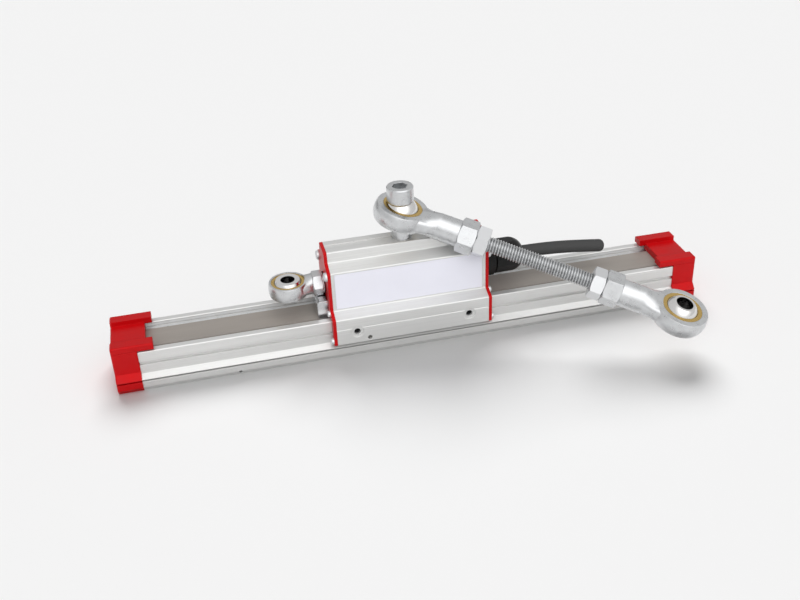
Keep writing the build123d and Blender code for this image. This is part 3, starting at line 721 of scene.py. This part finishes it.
class SENSOR_OT_finishes(bpy.types.Operator):
    """Put a node material on every carried-over piece"""

    bl_idname = "sensor.finishes"
    bl_label = "Finishes"

    def execute(self, context):
        finishes = make_finishes()
        for entry in frame["record"]["subparts"]:
            data = NODES[entry["node"]].data
            data.materials.clear()
            worn = OWN_FINISHES.get(entry["node"], entry["material_slot"])
            data.materials.append(finishes[worn])
        return {"FINISHED"}


# Push rod: the line that its pieces are threaded on, from the near ball's centre to the far ball's
NEAR_BALL_CENTRE = Vector(JOINTS["link_tilt"]["pos_m"])
ROD_AXIS = (Vector(JOINTS["far_ball_tilt"]["pos_m"]) - NEAR_BALL_CENTRE).normalized()

# Thread: each point of its profile is (share of the depth, share of the pitch)
THREAD_PROFILE = ((0.0, 0.0), (0.5, 0.24), (1.0, 0.44), (1.0, 0.60), (0.5, 0.80), (0.0, 1.0))
THREAD_SMOOTHING = 28
SPARE_TURNS = 2

# The thread's ends are cut between two rings of points, a little past the first turn
LEAD_IN_SHARE = 1.007
CUT_TOLERANCE = 0.0001 * MM


def turn_thread(name, root, depth, pitch, turns):
    """Open tube of thread about the z axis, from z = 0 up."""
    profile = [(root + share * depth, 0, rise * pitch) for share, rise in THREAD_PROFILE]
    rod = draw_profile(name, profile)
    screw = rod.modifiers.new("thread", "SCREW")
    screw.axis = "Z"
    screw.angle = 2 * pi
    screw.screw_offset = pitch
    screw.iterations = turns
    screw.steps = sizes().thread_steps
    screw.render_steps = sizes().thread_steps
    screw.use_merge_vertices = True
    screw.merge_threshold = MERGE_DISTANCE
    apply_modifiers(rod)
    tidy_normals(rod)
    return rod


def trim_thread(rod, bottom, top):
    """Cut the thread square at two heights and close both ends."""
    activate(rod)
    bpy.ops.object.mode_set(mode="EDIT")
    for height, below in ((bottom, True), (top, False)):
        bpy.ops.mesh.select_all(action="SELECT")
        bpy.ops.mesh.bisect(
            plane_co=(0, 0, height),
            plane_no=(0, 0, 1),
            use_fill=True,
            clear_inner=below,
            clear_outer=not below,
            threshold=CUT_TOLERANCE,
        )
    bpy.ops.object.mode_set(mode="OBJECT")
    tidy_normals(rod)


def note_thread_height(rod, root, depth):
    """Write each point's height in the thread, 0 at the root and 1 at the crest, as an attribute."""
    heights = rod.data.attributes.new(THREAD_HEIGHT, "FLOAT", "POINT")
    for point, height in zip(rod.data.vertices, heights.data):
        height.value = (point.co.to_2d().length - root) / depth


class SENSOR_OT_threaded_rod(bpy.types.Operator):
    """Model the push rod with a true thread"""

    bl_idname = "sensor.threaded_rod"
    bl_label = "Threaded Rod"

    def execute(self, context):
        size = sizes()
        reaches = [vertex.co.dot(ROD_AXIS) for vertex in NODES["threaded_rod"].data.vertices]
        start = min(reaches) - NEAR_BALL_CENTRE.dot(ROD_AXIS)
        length = max(reaches) - min(reaches)
        pitch = size.thread_pitch
        root = size.thread_radius - size.thread_depth
        turns = int(length / pitch) + SPARE_TURNS
        lead_in = LEAD_IN_SHARE * pitch
        rod = turn_thread("threaded_rod_thread", root, size.thread_depth, pitch, turns)
        trim_thread(rod, lead_in, lead_in + length)
        smooth(rod, THREAD_SMOOTHING)
        note_thread_height(rod, root, size.thread_depth)
        settle(rod, along(NEAR_BALL_CENTRE + ROD_AXIS * (start - lead_in), ROD_AXIS))
        dress(rod, "zinc_steel", "link")
        # The thread's finish paints shade into the roots between its crests
        rod.data.materials[0] = material_named("thread_steel")
        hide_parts("threaded_rod")
        return {"FINISHED"}


# Jam nuts: each is (node, distance from the near ball's centre in mm, turn of its flats in degrees)
JAM_NUTS = (("near_jam_nut", 28.3, 21.0), ("far_jam_nut", 71.5, 4.0))
NUT_FLATS = 10.0 * MM
NUT_HEIGHT = 4.7 * MM
NUT_BORE = 3.03 * MM
NUT_BORE_SIDES = 64
NUT_SMOOTHING = 25

# Chamfer: the hexagon is cut by a round blank that is coned down to a flat face
BLANK_SIDES = 96
BLANK_OVERSIZE = 1.01
CHAMFER = 0.42 * MM
CHAMFER_FLAT = 0.985 * NUT_FLATS / 2


def turned_blank(radius, flat_radius, height, chamfer):
    """Round blank between z = 0 and its height, with a cone at each end down to a flat face."""
    blank = add_cylinder("blank", BLANK_SIDES, radius, height - 2 * chamfer, height / 2)
    share = flat_radius / radius
    for sign, facing in ((1, upward), (-1, downward)):
        select_faces(blank, facing)
        bpy.ops.mesh.extrude_region_move(TRANSFORM_OT_translate={"value": (0, 0, sign * chamfer)})
        bpy.ops.transform.resize(value=(share, share, 1), center_override=(0, 0, height / 2))
        bpy.ops.object.mode_set(mode="OBJECT")
    return blank


def jam_nut(name):
    """Hexagon nut with both faces chamfered and a flat towards +y, standing on z = 0."""
    corner = NUT_FLATS / sqrt(3)
    middle = NUT_HEIGHT / 2
    nut = add_cylinder(name, 6, corner, NUT_HEIGHT, middle, turn=pi / 6)
    cut(nut, turned_blank(BLANK_OVERSIZE * corner, CHAMFER_FLAT, NUT_HEIGHT, CHAMFER), "INTERSECT")
    cut(nut, add_cylinder("bore", NUT_BORE_SIDES, NUT_BORE, 3 * NUT_HEIGHT, middle))
    tidy_normals(nut)
    smooth(nut, NUT_SMOOTHING)
    return nut


class SENSOR_OT_jam_nuts(bpy.types.Operator):
    """Model the two jam nuts that lock the rod ends"""

    bl_idname = "sensor.jam_nuts"
    bl_label = "Jam Nuts"

    def execute(self, context):
        for node, distance, turn in JAM_NUTS:
            nut = jam_nut(f"{node}_chamfered")
            place = along(NEAR_BALL_CENTRE + ROD_AXIS * distance * MM, ROD_AXIS)
            settle(nut, place @ Matrix.Rotation(radians(turn), 4, "Z"))
            dress(nut, "zinc_steel", "link")
            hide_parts(node)
        return {"FINISHED"}


# Plate screws: each is (distance from the middle, height, shank radius, head radius) in mm
PLATE_SCREWS = ((8.5, 32.3, 0.8, 1.7), (9.5, 17.5, 0.65, 1.2), (13.15, 8.1, 0.65, 1.2))

# Outer faces of the end plates: each is (word for its side, place along the rail in mm, way it faces)
PLATE_FACES = (("left", -32.2, -1), ("right", 27.2, 1))
SHANK_LENGTH = 7.0 * MM
FIRST_HEAD_TURN = 23
HEAD_TURN_STEP = 31

# Pan head and its cross recess, with widths as shares of the head's radius
HEAD_SIDES = 40
DOME_SEGMENTS = 5
WIDEST_DOME = 0.45
HEAD_SMOOTHING = 40
RECESS_REACH = 1.12
RECESS_BLADE = 0.34
RECESS_TAPER = 0.45


def recess_blades(head_radius, height, depth):
    """Two crossed, tapered blades of a driver's tip, standing in the top of a head."""
    blades = []
    for name, turn in (("blade_a", 0.0), ("blade_b", pi / 2)):
        deselect()
        bpy.ops.mesh.primitive_cube_add(size=1.0, location=(0, 0, height + depth / 2), rotation=(0, 0, turn))
        blade = named(name)
        blade.scale = (RECESS_REACH * head_radius, RECESS_BLADE * head_radius, 3 * depth)
        apply_place(blade)
        select_faces(blade, downward)
        taper = (RECESS_TAPER, RECESS_TAPER, 1)
        bpy.ops.transform.resize(value=taper, center_override=(0, 0, height - depth))
        bpy.ops.object.mode_set(mode="OBJECT")
        blades.append(blade)
    return blades


def pan_head_screw(name, shank_radius, head_radius):
    """One screw with a domed head, a cross recess and its shank, head upwards from z = 0."""
    size = sizes()
    height = size.head_height
    screw = add_cylinder(name, HEAD_SIDES, head_radius, height, height / 2)
    select_faces(screw, downward)
    bpy.ops.mesh.inset(thickness=head_radius - shank_radius)
    bpy.ops.mesh.extrude_region_move(TRANSFORM_OT_translate={"value": (0, 0, -SHANK_LENGTH)})
    bpy.ops.object.mode_set(mode="OBJECT")
    select_faces(screw, upward)
    bpy.ops.mesh.region_to_loop()
    bpy.ops.mesh.bevel(offset=min(size.head_dome, WIDEST_DOME * head_radius), segments=DOME_SEGMENTS)
    bpy.ops.object.mode_set(mode="OBJECT")
    for blade in recess_blades(head_radius, height, size.recess_depth):
        cut(screw, blade)
    tidy_normals(screw)
    smooth(screw, HEAD_SMOOTHING)
    return screw


def screw_kinds():
    """One finished screw for each size, keyed by (shank radius, head radius)."""
    kinds = {}
    for _, _, shank, head in PLATE_SCREWS:
        if (shank, head) not in kinds:
            kinds[(shank, head)] = pan_head_screw(f"pan_head_{len(kinds)}", shank * MM, head * MM)
    return kinds


def screw_row(kinds, word, x, outward):
    """Copies of the screws on one plate, each driver's recess turned its own way."""
    row = []
    for y, z, shank, head in PLATE_SCREWS:
        for side in (-1, 1):
            screw = copy_of(kinds[(shank, head)], f"plate_screw_{word}_{len(row)}")
            place = along(Vector((x, side * y, z)) * MM, (outward, 0, 0))
            turn = radians(FIRST_HEAD_TURN + HEAD_TURN_STEP * len(row))
            settle(screw, place @ Matrix.Rotation(turn, 4, "Z"))
            row.append(screw)
    return row


class SENSOR_OT_plate_screws(bpy.types.Operator):
    """Model the pan-head screws of both end plates"""

    bl_idname = "sensor.plate_screws"
    bl_label = "Plate Screws"

    def execute(self, context):
        kinds = screw_kinds()
        for word, x, outward in PLATE_FACES:
            screws = join(screw_row(kinds, word, x, outward), f"pan_heads_{word}")
            dress(screws, "zinc_steel", "carriage")
            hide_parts(f"plate_screws_{word}")
        for kind in kinds.values():
            remove(kind)
        return {"FINISHED"}


# Lead: its route starts in the gland, and the steps are measured from there, in mm
LEAD_START = (43.0, 0.0, 25.6)
LEAD_STEPS = ((0.0, 0.0, 0.0), (7.0, 0.0, 0.0), (19.5, -0.3, -0.6), (33.0, -1.0, -2.1))
LEAD_ORDER = 3
LEAD_RINGS = 8
LEAD_ROUNDNESS = 8
LEAD_END_SEGMENTS = 7
LEAD_SMOOTHING = 50


def lead_route():
    """Points of the lead's route, the same as the part's, in metres."""
    start = Vector(LEAD_START)
    return [(start + Vector(step)) * MM for step in LEAD_STEPS]


def lead_curve(name, route):
    """Smooth open curve with the route as its control points."""
    curve = bpy.data.curves.new(name, "CURVE")
    curve.dimensions = "3D"
    curve.resolution_u = LEAD_RINGS
    curve.use_fill_caps = True
    spline = curve.splines.new("NURBS")
    spline.points.add(len(route) - 1)
    for point, place in zip(spline.points, route):
        point.co = (*place, 1)
    spline.order_u = LEAD_ORDER
    spline.use_endpoint_u = True
    lead = bpy.data.objects.new(name, curve)
    bpy.context.scene.collection.objects.link(lead)
    return lead


def points_along(lead):
    """Points that a curve without a bevel follows."""
    line = bpy.data.meshes.new_from_object(lead)
    return [tuple(vertex.co) for vertex in line.vertices]


def round_tip(lead, tip, heading, near, radius):
    """Round the rim of the closed end."""

    def at_tip(centre, normal):
        return (centre - tip).length < near and normal.dot(heading) > FACING

    select_faces(lead, at_tip)
    bpy.ops.mesh.dissolve_faces()
    bpy.ops.mesh.region_to_loop()
    bpy.ops.mesh.bevel(offset=radius, segments=LEAD_END_SEGMENTS)
    bpy.ops.object.mode_set(mode="OBJECT")


class SENSOR_OT_lead(bpy.types.Operator):
    """Model the lead with its closed, rounded end"""

    bl_idname = "sensor.lead"
    bl_label = "Lead"

    def execute(self, context):
        size = sizes()
        route = lead_route()
        lead = lead_curve("lead", route)
        path = points_along(lead)
        lead.data.bevel_depth = size.lead_diameter / 2
        lead.data.bevel_resolution = LEAD_ROUNDNESS
        activate(lead)
        bpy.ops.object.convert(target="MESH")
        lead = named("lead")
        tidy_normals(lead)
        heading = (route[-1] - route[-2]).normalized()
        round_tip(lead, route[-1], heading, size.lead_diameter, size.lead_end_radius)
        tidy_normals(lead)
        smooth(lead, LEAD_SMOOTHING)
        dress(lead, "cable_sheath", "carriage")
        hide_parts("cable")
        return {"FINISHED"}


# Camera: place in mm, turns in radians and lens in mm, as the photograph was taken
CAMERA_PLACE = (-73.80, -322.25, 213.60)
CAMERA_YAW = 0.2125
CAMERA_DROP = 0.5471
CAMERA_ROLL = -0.0459
CAMERA_LENS = 46.32
CAMERA_CLIP = 10 * MM
SENSOR_WIDTH = 36.0

# Light: a wide overhead softbox a little in front and a darker room behind
# Each stop is (turn to the softbox, from 0 behind to 1 at its middle, brightness there)
SOFTBOX_DIRECTION = (0.10, -0.66, 0.75)
SKY_STOPS = ((0.20, 0.08), (0.36, 0.36), (0.60, 0.37), (0.80, 0.40), (0.89, 0.60), (0.95, 0.92), (1.0, 1.0))
SKY_LIGHT = 0.78
SKY_IN_METAL = 1.85

# Two broad suns: one gives the floor its shadow, the other lightens what faces the camera
KEY_TURN = (radians(-38), radians(8), 0)
KEY_ENERGY = 2.45
KEY_SPREAD = radians(40)
FILL_TURN = (radians(34), 0, radians(-20))
FILL_ENERGY = 2.2
FILL_SPREAD = radians(70)

FLOOR_SIZE = 8.0


def lay_floor(tone):
    """Pale paper under the sensor, reaching far out."""
    deselect()
    bpy.ops.mesh.primitive_plane_add(size=FLOOR_SIZE, location=(0, 0, 0))
    floor = named("floor")
    paper = Finish("floor_paper", tone.backdrop, metallic=0.0, roughness=0.9)
    paper.vary_colour(paper.pattern(PAPER_FIBRE, detail=2), darker=0.998)
    paper.shader.inputs["Specular IOR Level"].default_value = 0.1
    floor.data.materials.append(paper.material)
    return floor


def softbox_glow(nodes, links):
    """Colour of the sky by how far a direction turns to the softbox."""
    place = nodes.new("ShaderNodeTexCoord")
    facing = nodes.new("ShaderNodeVectorMath")
    facing.operation = "DOT_PRODUCT"
    facing.inputs[1].default_value = Vector(SOFTBOX_DIRECTION).normalized()
    turned = nodes.new("ShaderNodeMapRange")
    turned.inputs["From Min"].default_value = -1
    ramp = nodes.new("ShaderNodeValToRGB")
    stops = ramp.color_ramp.elements
    while len(stops) < len(SKY_STOPS):
        stops.new(0.5)
    for stop, (position, value) in zip(stops, SKY_STOPS):
        stop.position = position
        stop.color = (value, value, value, 1)
    links.new(place.outputs["Generated"], facing.inputs[0])
    links.new(facing.outputs["Value"], turned.inputs["Value"])
    links.new(turned.outputs["Result"], ramp.inputs["Fac"])
    return ramp.outputs["Color"]


def hang_sky(scene, tone):
    """World with the softbox, and with the plain backdrop where the camera looks past the floor."""
    world = bpy.data.worlds.new("studio")
    scene.world = world
    world.use_nodes = True
    nodes = world.node_tree.nodes
    links = world.node_tree.links
    sky = nodes["Background"]
    links.new(softbox_glow(nodes, links), sky.inputs["Color"])
    ray = nodes.new("ShaderNodeLightPath")
    # The sky is brighter where metal mirrors it
    level = nodes.new("ShaderNodeMapRange")
    level.inputs["To Min"].default_value = SKY_LIGHT
    level.inputs["To Max"].default_value = SKY_IN_METAL
    links.new(ray.outputs["Is Glossy Ray"], level.inputs["Value"])
    links.new(level.outputs["Result"], sky.inputs["Strength"])
    backdrop = nodes.new("ShaderNodeBackground")
    backdrop.inputs["Color"].default_value = (*tone.backdrop, 1)
    shown = nodes.new("ShaderNodeMixShader")
    links.new(ray.outputs["Is Camera Ray"], shown.inputs["Fac"])
    links.new(sky.outputs["Background"], shown.inputs[1])
    links.new(backdrop.outputs["Background"], shown.inputs[2])
    links.new(shown.outputs["Shader"], nodes["World Output"].inputs["Surface"])


def add_sun(name, turn, energy, spread):
    """Broad sun that metal doesn't mirror."""
    deselect()
    bpy.ops.object.light_add(type="SUN", rotation=turn)
    lamp = named(name)
    lamp.data.energy = energy
    lamp.data.angle = spread
    lamp.visible_glossy = False
    return lamp


def share_light(lamp, floor, state):
    """Let a lamp light the floor alone, or all but the floor."""
    receivers = bpy.data.collections.new(f"{lamp.name}_receivers")
    receivers.objects.link(floor)
    receivers.collection_objects[0].light_linking.link_state = state
    lamp.light_linking.receiver_collection = receivers


def place_camera(scene):
    """Camera at the photograph's viewing angle."""
    aim = Euler((pi / 2 - CAMERA_DROP, 0, -CAMERA_YAW)).to_matrix() @ Matrix.Rotation(CAMERA_ROLL, 3, "Z")
    deselect()
    bpy.ops.object.camera_add(location=Vector(CAMERA_PLACE) * MM, rotation=aim.to_euler())
    camera = named("photo_camera")
    camera.data.sensor_width = SENSOR_WIDTH
    camera.data.lens = CAMERA_LENS
    camera.data.clip_start = CAMERA_CLIP
    scene.camera = camera


class SENSOR_OT_studio(bpy.types.Operator):
    """Set the floor, the light and the camera"""

    bl_idname = "sensor.studio"
    bl_label = "Studio"

    def execute(self, context):
        tone = colours()
        floor = lay_floor(tone)
        hang_sky(context.scene, tone)
        key = add_sun("key_light", KEY_TURN, KEY_ENERGY, KEY_SPREAD)
        fill = add_sun("fill_light", FILL_TURN, FILL_ENERGY, FILL_SPREAD)
        share_light(key, floor, "INCLUDE")
        share_light(fill, floor, "EXCLUDE")
        place_camera(context.scene)
        context.scene.view_settings.view_transform = "Standard"
        return {"FINISHED"}


class SENSOR_PT_panel(bpy.types.Panel):
    """Lists the sensor's sizes, colours and steps in the sidebar"""

    bl_idname = "SENSOR_PT_panel"
    bl_label = "Linear Position Sensor"
    bl_space_type = "VIEW_3D"
    bl_region_type = "UI"
    bl_category = "Sensor"

    def draw(self, context):
        for group in (context.scene.sensor_sizes, context.scene.sensor_colours):
            for name in group.bl_rna.properties.keys():
                if name not in {"rna_type", "name"}:
                    self.layout.prop(group, name)
        for step in STEPS:
            self.layout.operator(step.bl_idname)


STEPS = (
    SENSOR_OT_finishes,
    SENSOR_OT_threaded_rod,
    SENSOR_OT_jam_nuts,
    SENSOR_OT_plate_screws,
    SENSOR_OT_lead,
    SENSOR_OT_studio,
)
CLASSES = (SensorSizes, SensorColours, *STEPS, SENSOR_PT_panel)


def register():
    """Register the classes and hang the sizes and colours on the scene."""
    for one in CLASSES:
        bpy.utils.register_class(one)
    bpy.types.Scene.sensor_sizes = PointerProperty(type=SensorSizes)
    bpy.types.Scene.sensor_colours = PointerProperty(type=SensorColours)


def unregister():
    """Take the classes and the scene's groups away again."""
    del bpy.types.Scene.sensor_colours
    del bpy.types.Scene.sensor_sizes
    for one in reversed(CLASSES):
        bpy.utils.unregister_class(one)


def main():
    """Dress the sensor."""
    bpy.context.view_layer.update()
    register()
    bpy.ops.sensor.finishes()
    bpy.ops.sensor.threaded_rod()
    bpy.ops.sensor.jam_nuts()
    bpy.ops.sensor.plate_screws()
    bpy.ops.sensor.lead()
    bpy.ops.sensor.studio()


if __name__ == "__main__":
    main()
